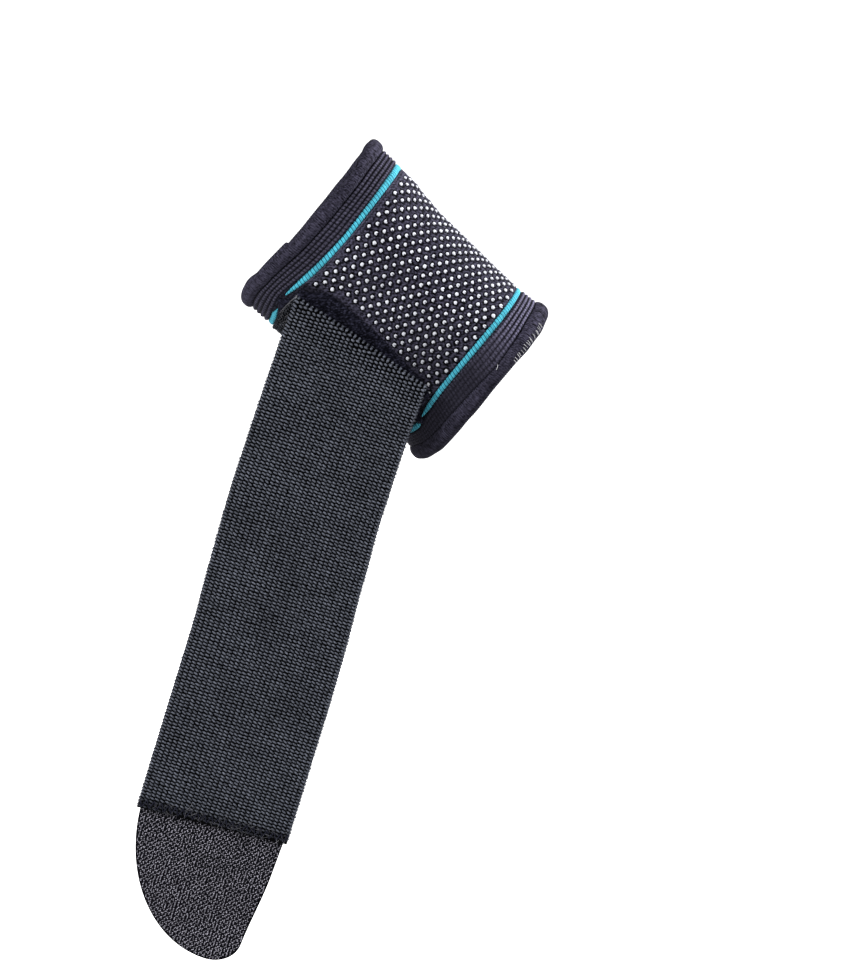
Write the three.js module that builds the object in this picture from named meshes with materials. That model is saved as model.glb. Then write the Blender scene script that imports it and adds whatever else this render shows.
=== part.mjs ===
// Wrist support: a knitted elastic tube with ribbed ends, two inlaid yarn stripes and rolled hems, and a webbing
// strap that wraps its underside, folds back on itself and hangs down to a rounded hook tab.
// Millimetres, +Z up, seen from -Y. The origin is the middle of the tube's bore.
import * as THREE from 'three';

// The tube: its axis lies in the XZ plane and drops towards the hand end, at +X
const SLEEVE_LENGTH = 79.4;
const AXIS_DROP = THREE.MathUtils.degToRad(25.9);
const WALL = 2;
const DEPTH_RATIO = 0.77; // the section's depth over its height, as a wrist has
const ROUND_STEPS = 44;

// Half the section's height along the tube: wide at the forearm, a waist, a slight flare at the hand
const GIRTH = [
  { along: -40, half: 33.4 },
  { along: -28, half: 33.3 },
  { along: -21, half: 32.7 },
  { along: -15, half: 31.5 },
  { along: -7, half: 30.9 },
  { along: 20, half: 30.5 },
  { along: 28, half: 31.0 },
  { along: 40, half: 31.9 },
];

// Each ring leans a little, and the panel's seam stretches the knit lengthwise near its own angle
const RING_LEAN = Math.tan(THREE.MathUtils.degToRad(3.5));
const SEAM_STRETCH = 0.07;
const SEAM_ANGLE = -42;
const SEAM_SPREAD = 24;

// The wrapped strap presses a shallow dent into the knit, round the underside
const DENT_DEPTH = 1.4;
const DENT_HALF_LENGTH = 24.7;
const DENT_FRONT_ANGLE = -58;
const DENT_BACK_ANGLE = -150;
const DENT_FADE_ANGLE = 18;
const DENT_FADE_LENGTH = 2;

// Ribs, stripes and hems, from the body outwards
const GAP = 0.3;
const STRIPE_MIDDLE = 28;
const STRIPE_WIDTH = 2;
const STRIPE_DEPTH = 0.5;
const RIB_COUNT = 5;
const RIB_PITCH = 1.15;
const RIB_HEIGHT = 0.4;
const HEM_THICKNESS = 4.4;
const HEM_RISE = 1.4; // how far the roll stands out past the knitted face
const HEM_SIDES = 10;

// The plush panel: a thin patch on the tube, between an upper and a lower angle
const PLUSH_THICKNESS = 0.8;
const PLUSH_HALF_LENGTH = 26.2;
const PLUSH_LOWER_ANGLE = -57;
const PLUSH_UPPER_EDGE = [
  { along: -27, angle: -26 },
  { along: -18, angle: -15.5 },
  { along: 0, angle: -14.5 },
  { along: 20, angle: -16.5 },
  { along: 27, angle: -20 },
];
const TONGUE_REACH = 2.7; // the seam allowance that laps over each stripe
const TONGUE_ANGLE = -47;
const TONGUE_SPREAD = 6;
const PLUSH_COLUMNS = 18;
const PLUSH_ROWS = 10;

// The strap: wrapped from its sewn root to the slanted fold, over the fold, then hanging plumb
const STRAP_WIDTH = 49;
const STRAP_THICKNESS = 1.6;
const WRAP_HALF_WIDTH = 24.7; // along the tube, at the slanted fold
const WRAP_MIDDLE = -0.8;
const ROOT_ANGLE = -150;
const FOLD_ANGLE_LEFT = -31.5;
const FOLD_ANGLE_RIGHT = -19.5;
const FOLD_RADIUS = 2;
const HANG_PLANE = -28.3;
const STRAP_END = -180.3;
const END_SLANT = Math.tan(THREE.MathUtils.degToRad(1.7));
const SETTLE_LENGTH = 60; // the drop over which the hanging layer comes into its plane
const SWAY = 1.2; // the hanging layer's small swing towards the elbow end
const SWAY_LENGTH = 110;
const WRAP_STEPS = 22;
const TURN_STEPS = 8;
const HANG_STEPS = 24;
const STRAP_COLUMNS = 8;
const LIFT_FADE_START = 3; // degrees past the panel's lower edge where the strap starts to come down off it
const LIFT_FADE_END = 18;

// The hook tab, sewn behind the strap's end
const TAB_WIDTH = 47.6;
const TAB_LENGTH = 46.4; // below the end of the webbing
const TAB_LAP = 12; // hidden behind the webbing
const TAB_THICKNESS = 1.6;
const TAB_TIP_OFFSET = 10.5;
const TAB_CORNER_HEIGHT = 9;
const TAB_SIDE_TAPER = 2.6;
const TAB_MIDDLE = -6.3; // below the middle of the hanging layer
const TAB_CURVE_STEPS = 14;

const { degToRad, lerp, smoothstep } = THREE.MathUtils;

// Reads a table of named columns at a place between its rows
function readTable(table, column, along) {
  if (along <= table[0].along) return table[0][column];
  for (let i = 1; i < table.length; i++) {
    const before = table[i - 1];
    const after = table[i];
    if (along <= after.along) {
      return lerp(before[column], after[column], smoothstep(along, before.along, after.along));
    }
  }
  return table[table.length - 1][column];
}

const bump = (angle, middle, spread) => Math.exp(-(((angle - middle) / spread) ** 2));

// The tube's section frame at a place along it and a section angle in degrees, 0 facing -Y and 90 at the top
function sectionFrame(along, angle) {
  const high = readTable(GIRTH, 'half', along);
  const deep = high * DEPTH_RATIO;
  const turn = degToRad(angle);
  const normal = new THREE.Vector3(0, -Math.cos(turn) / deep, Math.sin(turn) / high).normalize();
  const face = new THREE.Vector3(0, -deep * Math.cos(turn), high * Math.sin(turn));
  return { face, normal, upward: new THREE.Vector3(0, normal.z, -normal.y) };
}

// How much of the strap's dent there is, from 0 to 1
function dent(along, angle) {
  const ends = 1 - smoothstep(Math.abs(along), DENT_HALF_LENGTH, DENT_HALF_LENGTH + DENT_FADE_LENGTH);
  const front = 1 - smoothstep(angle, DENT_FRONT_ANGLE - DENT_FADE_ANGLE, DENT_FRONT_ANGLE);
  const back = smoothstep(angle, DENT_BACK_ANGLE - DENT_FADE_ANGLE, DENT_BACK_ANGLE);
  return ends * front * back;
}

// A point on the tube, lifted off its knitted face
function onSleeve(along, angle, lift) {
  const { face, normal } = sectionFrame(along, angle);
  const point = face.addScaledVector(normal, lift - DENT_DEPTH * dent(along, angle));
  point.x = along * (1 + SEAM_STRETCH * bump(angle, SEAM_ANGLE, SEAM_SPREAD)) - point.z * RING_LEAN;
  return point;
}

// Moves every corner of a geometry by a function of its first place
function shaped(geometry, place) {
  const corners = geometry.attributes.position;
  const corner = new THREE.Vector3();
  for (let i = 0; i < corners.count; i++) {
    corner.fromBufferAttribute(corners, i);
    const moved = place(corner);
    corners.setXYZ(i, moved.x, moved.y, moved.z);
  }
  geometry.computeVertexNormals();
  return geometry;
}

// A ring round the tube from its closed profile of places along the tube and lifts off its face
const LATHE_RADIUS = 10;
function ring(profile) {
  const points = [...profile, profile[0]].map(({ along, lift }) => new THREE.Vector2(LATHE_RADIUS + lift, along));
  return shaped(new THREE.LatheGeometry(points, ROUND_STEPS), (corner) => {
    const angle = THREE.MathUtils.radToDeg(Math.atan2(-corner.x, corner.z));
    return onSleeve(corner.y, angle, Math.hypot(corner.x, corner.z) - LATHE_RADIUS);
  });
}

function cloth(name, geometry, colour, roughness) {
  const mesh = new THREE.Mesh(geometry, new THREE.MeshStandardMaterial({ color: colour, roughness, metalness: 0 }));
  mesh.name = name;
  return mesh;
}

// The knitted tube: rib band, stripe channel, body, stripe channel and rib band outside, a plain wall inside
const CHANNEL_INNER = STRIPE_MIDDLE - STRIPE_WIDTH / 2 - GAP;
const CHANNEL_OUTER = STRIPE_MIDDLE + STRIPE_WIDTH / 2 + GAP;
const BAND_END = CHANNEL_OUTER + RIB_COUNT * RIB_PITCH;

function sleeveProfile() {
  const side = [];
  for (let i = RIB_COUNT * 2; i >= 0; i--) {
    side.push({ along: CHANNEL_OUTER + (i * RIB_PITCH) / 2, lift: i % 2 ? RIB_HEIGHT : 0 });
  }
  side.push({ along: CHANNEL_OUTER, lift: -STRIPE_DEPTH - GAP });
  side.push({ along: CHANNEL_INNER, lift: -STRIPE_DEPTH - GAP });
  side.push({ along: CHANNEL_INNER, lift: 0 });
  const elbowSide = side.map(({ along, lift }) => ({ along: -along, lift }));
  const waist = GIRTH.map(({ along }) => along).filter((along) => Math.abs(along) < DENT_HALF_LENGTH);
  const body = [-DENT_HALF_LENGTH, ...waist, DENT_HALF_LENGTH];
  const outside = body.map((along) => ({ along, lift: 0 }));
  const inside = [...body].reverse().map((along) => ({ along, lift: -WALL }));
  return [
    ...elbowSide,
    ...outside,
    ...side.reverse(),
    { along: BAND_END, lift: -WALL },
    ...inside,
    { along: -BAND_END, lift: -WALL },
  ];
}

function stripeProfile(end) {
  const half = STRIPE_WIDTH / 2;
  return [
    { along: end * STRIPE_MIDDLE - half, lift: -STRIPE_DEPTH },
    { along: end * STRIPE_MIDDLE - half, lift: 0 },
    { along: end * STRIPE_MIDDLE + half, lift: 0 },
    { along: end * STRIPE_MIDDLE + half, lift: -STRIPE_DEPTH },
  ];
}

// A rolled hem: an oval roll just past the rib band, out to the tube's end
function hemProfile(end) {
  const profile = [];
  const half = (SLEEVE_LENGTH / 2 - BAND_END - GAP) / 2;
  const middle = end * (SLEEVE_LENGTH / 2 - half);
  for (let i = 0; i < HEM_SIDES; i++) {
    const turn = (-2 * Math.PI * (i + 0.5)) / HEM_SIDES;
    profile.push({
      along: middle + half * Math.cos(turn),
      lift: HEM_RISE + (HEM_THICKNESS / 2) * (Math.sin(turn) - 1),
    });
  }
  return profile;
}

// The panel: a flat patch of 1 by 1 laid on the tube, its tongues lapping over the stripes
function plushPanel() {
  return shaped(new THREE.BoxGeometry(1, 1, 1, PLUSH_COLUMNS, PLUSH_ROWS, 1), (corner) => {
    const rise = corner.y + 0.5;
    const side = corner.x * 2;
    const upper = readTable(PLUSH_UPPER_EDGE, 'angle', side * PLUSH_HALF_LENGTH);
    const angle = lerp(PLUSH_LOWER_ANGLE, upper, rise);
    const along = side * (PLUSH_HALF_LENGTH + TONGUE_REACH * bump(angle, TONGUE_ANGLE, TONGUE_SPREAD));
    return onSleeve(along, angle, GAP + (corner.z + 0.5) * PLUSH_THICKNESS);
  });
}

// The strap's wrapped layer lies on the panel, then on the bare knit behind it
const BARE_LIFT = GAP + STRAP_THICKNESS / 2;
const PANEL_LIFT = BARE_LIFT + GAP + PLUSH_THICKNESS;
function wrapLift(angle) {
  const past = PLUSH_LOWER_ANGLE - angle;
  return lerp(PANEL_LIFT, BARE_LIFT, smoothstep(past, LIFT_FADE_START, LIFT_FADE_END));
}

// The middle of the strap and the way its front face looks, at a column from -1 to 1 and a step along it
function strapRoute(column, step) {
  const along = WRAP_MIDDLE + column * WRAP_HALF_WIDTH;
  const foldAngle = lerp(FOLD_ANGLE_LEFT, FOLD_ANGLE_RIGHT, (column + 1) / 2);
  if (step <= WRAP_STEPS) {
    const angle = lerp(ROOT_ANGLE, foldAngle, step / WRAP_STEPS);
    const { normal } = sectionFrame(along, angle);
    return { middle: onSleeve(along, angle, wrapLift(angle)), front: normal.negate() };
  }
  const { normal, upward } = sectionFrame(along, foldAngle);
  const centre = onSleeve(along, foldAngle, PANEL_LIFT + FOLD_RADIUS);
  const plumb = new THREE.Vector3(0, 0, -1);
  const wholeTurn = Math.atan2(plumb.dot(normal), plumb.dot(upward));
  const turn = wholeTurn * Math.min((step - WRAP_STEPS) / TURN_STEPS, 1);
  const front = normal.multiplyScalar(-Math.cos(turn)).addScaledVector(upward, Math.sin(turn));
  const middle = centre.clone().addScaledVector(front, FOLD_RADIUS);
  const belowCrest = centre.z + FOLD_RADIUS - middle.z;
  // past the crest the webbing drops plumb, so it crosses the leaning tube
  middle.x += Math.tan(AXIS_DROP) * belowCrest * Math.sin(turn / 2) ** 2;
  return { middle, front };
}

function strap() {
  const steps = WRAP_STEPS + TURN_STEPS + HANG_STEPS;
  const toPart = new THREE.Matrix4().makeRotationY(AXIS_DROP);
  const flat = new THREE.BoxGeometry(1, 1, 1, STRAP_COLUMNS, steps, 1);
  return shaped(flat, (corner) => {
    const column = corner.x * 2;
    const step = Math.round((0.5 - corner.y) * steps);
    const { middle, front } = strapRoute(column, step);
    middle.applyMatrix4(toPart);
    front.transformDirection(toPart);
    const hang = Math.max(step - WRAP_STEPS - TURN_STEPS, 0) / HANG_STEPS;
    const drop = hang * (middle.z - STRAP_END - END_SLANT * column * (STRAP_WIDTH / 2));
    middle.z -= drop;
    middle.y = lerp(middle.y, HANG_PLANE, smoothstep(drop, 0, SETTLE_LENGTH));
    middle.x -= SWAY * Math.sin(Math.PI * Math.min(drop / SWAY_LENGTH, 1));
    return middle.addScaledVector(front, corner.z * STRAP_THICKNESS);
  });
}

// The tab's outline: straight top, a long curve on the elbow side and a small round corner on the other
function hookTab() {
  const half = TAB_WIDTH / 2;
  const outline = new THREE.Shape();
  outline.moveTo(-half, TAB_LAP);
  outline.lineTo(-half, 0);
  const leftReach = half + TAB_TIP_OFFSET;
  outline.absellipse(TAB_TIP_OFFSET, 0, leftReach, TAB_LENGTH, Math.PI, 1.5 * Math.PI);
  const rightReach = half - TAB_SIDE_TAPER - TAB_TIP_OFFSET;
  const cornerTop = TAB_CORNER_HEIGHT - TAB_LENGTH;
  outline.absellipse(TAB_TIP_OFFSET, cornerTop, rightReach, TAB_CORNER_HEIGHT, 1.5 * Math.PI, 2 * Math.PI);
  outline.lineTo(half, TAB_LAP);
  return new THREE.ExtrudeGeometry(outline, { depth: TAB_THICKNESS, bevelEnabled: false, curveSegments: TAB_CURVE_STEPS });
}

const KNIT = 0x2a2730;
const TURQUOISE = 0x3cbccf;
const HEM = 0x2c2932;
const PLUSH = 0x1d1b22;
const WEBBING = 0x474c52;
const HOOK_GREY = 0x6a6a72;

const tube = new THREE.Group();
tube.rotation.y = AXIS_DROP;
tube.add(cloth('sleeve', ring(sleeveProfile()), KNIT, 0.85));
tube.add(cloth('stripe_elbow', ring(stripeProfile(-1)), TURQUOISE, 0.6));
tube.add(cloth('stripe_hand', ring(stripeProfile(1)), TURQUOISE, 0.6));
tube.add(cloth('hem_elbow', ring(hemProfile(-1)), HEM, 0.85));
tube.add(cloth('hem_hand', ring(hemProfile(1)), HEM, 0.85));
tube.add(cloth('plush_panel', plushPanel(), PLUSH, 0.95));

const webbing = cloth('strap', strap(), WEBBING, 0.8);

const tab = cloth('hook_tab', hookTab(), HOOK_GREY, 0.9);
tab.rotation.x = Math.PI / 2;
tab.position.set(TAB_MIDDLE, HANG_PLANE + STRAP_THICKNESS / 2 + GAP + TAB_THICKNESS, STRAP_END);

const wristSupport = new THREE.Group();
wristSupport.add(tube, webbing, tab);

export default wristSupport;
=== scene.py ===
# Wrist support: a knitted elastic tube with ribbed ends, rolled hems, yarn stripes and rows of pale dots,
# a plush panel, and a webbing strap that folds over itself and hangs down to a rounded hook tab.
import math

import bpy
import numpy as np
from mathutils import Matrix, Vector


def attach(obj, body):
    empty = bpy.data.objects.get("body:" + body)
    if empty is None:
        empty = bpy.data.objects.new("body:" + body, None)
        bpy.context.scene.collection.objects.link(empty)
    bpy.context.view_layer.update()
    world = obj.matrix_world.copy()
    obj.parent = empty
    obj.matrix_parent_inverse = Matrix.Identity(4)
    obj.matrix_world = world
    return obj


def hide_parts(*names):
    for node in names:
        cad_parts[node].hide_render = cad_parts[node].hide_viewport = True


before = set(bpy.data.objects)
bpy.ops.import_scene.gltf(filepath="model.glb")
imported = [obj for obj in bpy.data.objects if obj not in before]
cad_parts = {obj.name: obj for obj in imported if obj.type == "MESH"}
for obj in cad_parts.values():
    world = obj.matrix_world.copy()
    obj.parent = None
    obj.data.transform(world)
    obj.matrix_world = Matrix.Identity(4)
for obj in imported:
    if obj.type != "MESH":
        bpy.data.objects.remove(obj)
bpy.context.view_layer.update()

# The knitted body
# A tube of black elastic yarn, knitted in the round in one piece, with rows of V-shaped stitches.
# It is oval in section and open at both ends, and the wrapped strap presses a dent into its underside.
MM = 0.001
AXIS_DROP = math.radians(25.9)
DEPTH_RATIO = 0.77
GIRTH = [(-40, 33.4), (-28, 33.3), (-21, 33.1), (-15, 32.2), (-7, 31.4), (20, 31.0), (28, 31.0), (40, 31.8)]
RING_LEAN = math.tan(math.radians(3.5))
SEAM_STRETCH, SEAM_ANGLE, SEAM_SPREAD = 0.07, -42, 24
DENT_DEPTH, DENT_HALF_LENGTH, DENT_FADE_LENGTH = 1.4, 24.7, 2
DENT_FRONT, DENT_BACK, DENT_FADE = -58, -150, 18
WALL = 2
STRIPE_MIDDLE = 28
CHANNEL_DEPTH = 0.8


def together(*values):
    """Numbers and arrays stretched to one shape."""
    return (np.asarray(value, float) for value in np.broadcast_arrays(*values))


def smooth(value, low, high):
    """An eased step from 0 at low to 1 at high."""
    share = np.clip((value - low) / (high - low), 0, 1)
    return share * share * (3 - 2 * share)


def swell(value, middle, spread):
    return np.exp(-(((value - middle) / spread) ** 2))


def read_rows(rows, at):
    """The value at a place along the tube, eased from one row of a table to the next."""
    places, values = np.array(rows, float).T
    i = np.clip(np.searchsorted(places, at, side="right") - 1, 0, len(places) - 2)
    return values[i] + (values[i + 1] - values[i]) * smooth(at, places[i], places[i + 1])


def dent(along, angle):
    ends = 1 - smooth(np.abs(along), DENT_HALF_LENGTH, DENT_HALF_LENGTH + DENT_FADE_LENGTH)
    front = 1 - smooth(angle, DENT_FRONT - DENT_FADE, DENT_FRONT)
    return ends * front * smooth(angle, DENT_BACK - DENT_FADE, DENT_BACK)


def face_normal(along, angle):
    """The way out of the oval section, in the tube's own frame; angle 0 faces the front and 90 the top."""
    high = read_rows(GIRTH, along)
    turn = np.radians(angle)
    out = np.stack([np.zeros_like(turn), -np.cos(turn) / (high * DEPTH_RATIO), np.sin(turn) / high], -1)
    return out / np.linalg.norm(out, axis=-1, keepdims=True)


def tube_point(along, angle, lift):
    """Millimetres in the tube's own frame, at a lift off the knitted face."""
    along, angle, lift = together(along, angle, lift)
    high = read_rows(GIRTH, along)
    turn = np.radians(angle)
    face = np.stack([np.zeros_like(turn), -high * DEPTH_RATIO * np.cos(turn), high * np.sin(turn)], -1)
    point = face + face_normal(along, angle) * (lift - DENT_DEPTH * dent(along, angle))[..., None]
    stretch = 1 + SEAM_STRETCH * swell(angle, SEAM_ANGLE, SEAM_SPREAD)
    point[..., 0] = along * stretch - point[..., 2] * RING_LEAN
    return point


def to_part(v):
    """Turns the tube's own frame into the part's, where its axis drops towards the hand end."""
    x = v[..., 0] * math.cos(AXIS_DROP) + v[..., 2] * math.sin(AXIS_DROP)
    z = v[..., 2] * math.cos(AXIS_DROP) - v[..., 0] * math.sin(AXIS_DROP)
    return np.stack([x, v[..., 1], z], -1)


# The ends are not quite true. The pull grows from the first of these places along the tube to the others:
# the stripe, the hem's seam and its outer edge
PULL_PLACES = (25, 28, 35.05, 39.7)
# Each row: the angle round the tube, then how far out the stripe, the seam and the edge are pulled there
ELBOW_PULL = [
    (-180, 0, 0, 0), (-100, -0.3, 0.3, 0.3), (-64, -1.3, 0.8, 1.1), (-50, -0.9, 0.2, 0.3),
    (-40, 0.1, -0.4, -0.7), (-20, -0.4, 0.1, -0.2), (14, -1.4, -0.4, 0), (29, -1.1, -0.4, -0.7),
    (45, -0.8, -0.2, -1.0), (57, -0.5, 0.3, 0.1), (72, -0.2, 0.4, 1.2), (82, 0.1, 0.5, 1.3), (180, 0, 0, 0),
]
HAND_PULL = [
    (-180, 0, 0, 0), (-110, 0, -0.6, 0), (-64, 0.6, -1.3, -0.2), (-50, 0.8, -1.2, -0.8),
    (-41.5, 0.8, -1.1, -0.7), (-37, -0.4, -1.0, -0.5), (-24, -0.4, -0.2, 0.5), (-9, -0.1, 1.0, 1.7),
    (20, 0.1, 2.4, 1.7), (42, 0.4, 1.8, 2.3), (60, 0.4, 0.9, 2.2), (85, 0.2, 0.3, 1.4), (140, 0, 0, 0.2),
    (180, 0, 0, 0),
]
PULL_EASE, PULL_EASE_REACH = 2.4, 9


def end_pull(along, angle):
    """How far a place near an end is pulled outwards, eased round the tube and along it."""
    fine = np.arange(-180, 181)
    ease = swell(np.arange(-PULL_EASE_REACH, PULL_EASE_REACH + 1), 0, PULL_EASE)
    pulled = np.zeros_like(along)
    for side, rows in ((-1, ELBOW_PULL), (1, HAND_PULL)):
        table = np.array(rows, float)
        before = 0
        for k in range(len(PULL_PLACES) - 1):
            line = np.interp(fine, table[:, 0], table[:, k + 1])
            line = np.pad(line, PULL_EASE_REACH, mode="edge")
            line = np.convolve(line, ease / ease.sum(), mode="valid")
            here = np.interp((angle + 180) % 360 - 180, fine, line)
            start, stop = PULL_PLACES[k : k + 2]
            share = np.clip((along * side - start) / (stop - start), 0, 1)
            pulled = pulled + side * (here - before) * share
            before = here
    return pulled


def on_sleeve(along, angle, lift):
    along, angle, lift = together(along, angle, lift)
    return to_part(tube_point(along + end_pull(along, angle), angle, lift))


# Distances round the middle section, from the front line, so that stitches are spaced evenly
ARC_ANGLE = np.linspace(-180, 180, 1441)
MEAN_HALF = 31.2
arc_turn = np.radians(ARC_ANGLE)
arc_speed = MEAN_HALF * np.hypot(DEPTH_RATIO * np.sin(arc_turn), np.cos(arc_turn))
arc_steps = (arc_speed[1:] + arc_speed[:-1]) / 2 * np.diff(arc_turn)
ROUND = arc_steps.sum()
ARC = np.concatenate([[0], np.cumsum(arc_steps)]) - ROUND / 2


def angle_at(arc):
    return np.interp((arc + ROUND / 2) % ROUND - ROUND / 2, ARC, ARC_ANGLE)


def ring_faces(rows, columns):
    """Four-cornered faces of a closed ring whose section is closed too."""
    r, c = np.meshgrid(np.arange(rows), np.arange(columns), indexing="ij")
    below, beside = (r + 1) % rows, (c + 1) % columns
    corners = [r * columns + c, below * columns + c, below * columns + beside, r * columns + beside]
    return np.stack(corners, -1).reshape(-1, 4)


def cloth_piece(name, points, faces, material, crown, nodes=()):
    """A piece that rides on the part, from points in millimetres and faces, turned to look outwards.

    The crown is how high each point stands in its stitch, from 0 deep between stitches, where the colour is
    painted shade, or one value for them all.
    """
    points = np.asarray(points, float).reshape(-1, 3)
    faces = [np.asarray(block) for block in faces]
    inside_out = 0.0
    for block in faces:
        for k in range(1, block.shape[1] - 1):
            a, b, c = points[block[:, 0]], points[block[:, k]], points[block[:, k + 1]]
            inside_out -= (a * np.cross(b, c)).sum()
    if inside_out > 0:
        faces = [block[:, ::-1] for block in faces]
    mesh = bpy.data.meshes.new(name)
    mesh.from_pydata((points * MM).tolist(), [], [face for block in faces for face in block.tolist()])
    mesh.shade_smooth()
    layer = mesh.attributes.new("crown", "FLOAT", "POINT")
    layer.data.foreach_set("value", np.broadcast_to(np.ravel(crown), len(points)).astype(np.float32))
    mesh.materials.append(material)
    piece = bpy.data.objects.new(name, mesh)
    bpy.context.collection.objects.link(piece)
    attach(piece, "root")
    if nodes:
        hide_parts(*nodes)
    return piece


def yarn_tone_group():
    """Yarn seen close: painted shade deep between stitches, lighter on their crowns, with fine fibres."""
    group = bpy.data.node_groups.new("yarn_tone", "ShaderNodeTree")
    for side, labels in (
        ("INPUT", {"Crown": "Color", "Groove Shade": "Color", "Fibre Contrast": "Float", "Fibre Scale": "Float"}),
        ("OUTPUT", {"Colour": "Color", "Fibres": "Float"}),
    ):
        for label, kind in labels.items():
            group.interface.new_socket(name=label, in_out=side, socket_type=f"NodeSocket{kind}")
    link = group.links.new

    def add(kind, values=(), **settings):
        node = group.nodes.new(kind)
        for setting, value in settings.items():
            setattr(node, setting, value)
        for socket, value in values:
            node.inputs[socket].default_value = value
        return node

    given, made = add("NodeGroupInput"), add("NodeGroupOutput")
    place = add("ShaderNodeTexCoord")
    height = add("ShaderNodeAttribute", attribute_name="crown")
    # Painted shade: the crown attribute mixes from the near-black shade colour up to the crown colour
    stitch = add("ShaderNodeMix", data_type="RGBA")
    link(height.outputs["Fac"], stitch.inputs["Factor"])
    link(given.outputs["Groove Shade"], stitch.inputs["A"])
    link(given.outputs["Crown"], stitch.inputs["B"])
    fibres = add("ShaderNodeTexNoise", [("Detail", 3)])
    link(place.outputs["Object"], fibres.inputs["Vector"])
    link(given.outputs["Fibre Scale"], fibres.inputs["Scale"])
    slow = add("ShaderNodeTexNoise", [("Scale", 70)])
    link(place.outputs["Object"], slow.inputs["Vector"])
    centred = add("ShaderNodeMath", [(1, 0.5)], operation="SUBTRACT")
    link(fibres.outputs["Fac"], centred.inputs[0])
    fine = add("ShaderNodeMath", [(2, 1)], operation="MULTIPLY_ADD")
    link(centred.outputs[0], fine.inputs[0])
    link(given.outputs["Fibre Contrast"], fine.inputs[1])
    slow_range = [("From Min", 0.3), ("From Max", 0.7), ("To Min", 0.86), ("To Max", 1.14)]
    broad = add("ShaderNodeMapRange", slow_range)
    link(slow.outputs["Fac"], broad.inputs["Value"])
    both = add("ShaderNodeMath", operation="MULTIPLY")
    link(fine.outputs[0], both.inputs[0])
    link(broad.outputs["Result"], both.inputs[1])
    toned = add("ShaderNodeVectorMath", operation="SCALE")
    link(stitch.outputs["Result"], toned.inputs[0])
    link(both.outputs[0], toned.inputs["Scale"])
    link(toned.outputs[0], made.inputs["Colour"])
    link(fibres.outputs["Fac"], made.inputs["Fibres"])
    return group


YARN_TONE = yarn_tone_group()


def yarn(name, crown, groove_shade, contrast=1.2, fibre=1800, roughness=0.8, sheen=0.02, tint=(0.6, 0.58, 0.75)):
    """A yarn finish: tone from the shared group, a fibre bump, and the soft sheen of loose fibre ends."""
    material = bpy.data.materials.new(name)
    material.use_nodes = True
    nodes, link = material.node_tree.nodes, material.node_tree.links.new
    shader = nodes["Principled BSDF"]
    tone = nodes.new("ShaderNodeGroup")
    tone.node_tree = YARN_TONE
    bump = nodes.new("ShaderNodeBump")
    for node, socket, value in (
        (tone, "Crown", (*crown, 1)),
        (tone, "Groove Shade", (*groove_shade, 1)),
        (tone, "Fibre Contrast", contrast),
        (tone, "Fibre Scale", fibre),
        (bump, "Strength", 0.5),
        (bump, "Distance", 0.08 * MM),
        (shader, "Roughness", roughness),
        (shader, "Specular IOR Level", 0.03),
        (shader, "Sheen Weight", sheen),
        (shader, "Sheen Roughness", 0.5),
        (shader, "Sheen Tint", (*tint, 1)),
    ):
        node.inputs[socket].default_value = value
    link(tone.outputs["Fibres"], bump.inputs["Height"])
    link(tone.outputs["Colour"], shader.inputs["Base Color"])
    link(bump.outputs["Normal"], shader.inputs["Normal"])
    return material


# The stitches lie on a grid: four columns to a stitch round the tube, four rows to a stitch along it
STITCH_ROWS, STITCH_COLUMNS = 4, 4
STITCHES_ROUND = 144
STITCH_LENGTH = 1.546
FIRST_DOT = -23.2
DOTS_ARC_START = 0.65
ROWS_BEFORE, ROWS_AFTER = 16, 138
# How far the knit is pulled round, in millimetres, from the elbow end to the hand end
KNIT_DRIFT = [(-29, 0), (-23, 0), (-10, -0.5), (-4, -1), (8, -2.5), (14, -2.85), (20, -2.6), (29, -1.6)]
# Its rows bow towards the hand end over the top and lie closer together there
BOW_HEIGHT, BOW_SPREAD, BOW_BASE = 0.82, 40, -0.35
BOW_TOP, BOW_TOP_ELBOW, BOW_TURN_START, BOW_TURN_END = 56, 34, 3, 24
ROW_CLOSING, ROW_CLOSING_REACH, BOW_FADE_START, BOW_FADE_END = -0.75, 23, 24.5, 29
CHEVRON_HEIGHT = 0.09
LAST_DOT_ROW, DOT_STITCHES = 128, 4
PIT_RADIUS, PIT_WIDTH, PIT_DEPTH = 0.84, 0.25, 0.24
PIT_ROWS, PIT_COLUMNS = 3, 4
# The lowest angle at which a dot clears the plush panel's edge, along the tube
LOWEST_DOT = [(-25, -18), (-22, -14), (-20, -14), (-14, -11.5), (0, -13), (22, -15), (26, -22)]
STRAP_ROOT_ANGLE, ROOT_CLEARANCE = -150, 4
# Tones of the body's yarn: all over, on the stitches' crowns, by chance, and the painted shade in the pits
# round the dots
BODY_TONE, CHEVRON_TONE, FLECK_TONE, PIT_SHADE_TONE = 0.40, 0.26, 0.28, 0.9
random = np.random.default_rng(11)


def knit_place(row_along, arc):
    """Along and angle of a place in the knit, which is not pulled quite evenly over the tube."""
    angle = angle_at(arc + read_rows(KNIT_DRIFT, row_along))
    top = BOW_TOP + (BOW_TOP_ELBOW - BOW_TOP) * smooth(-row_along, BOW_TURN_START, BOW_TURN_END)
    bow = BOW_BASE + BOW_HEIGHT * swell(angle, top, BOW_SPREAD)
    bow = bow + ROW_CLOSING * np.minimum(np.abs(row_along) / ROW_CLOSING_REACH, 1) ** 2
    return row_along + bow * (1 - smooth(np.abs(row_along), BOW_FADE_START, BOW_FADE_END)), angle


# A stripe lies in a channel at each end, -1 the elbow's and 1 the hand's. Each has its half width, then the
# angles where it starts to narrow, ends, comes out again lower down and is whole, and the lower tip's power
ENDS = (("elbow", -1), ("hand", 1))
STRIPES = {-1: (1.3, -15, -36.5, -48.5, -58, 1.2), 1: (1.05, -27, -37, -39.4, -44.5, 1.6)}


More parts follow.
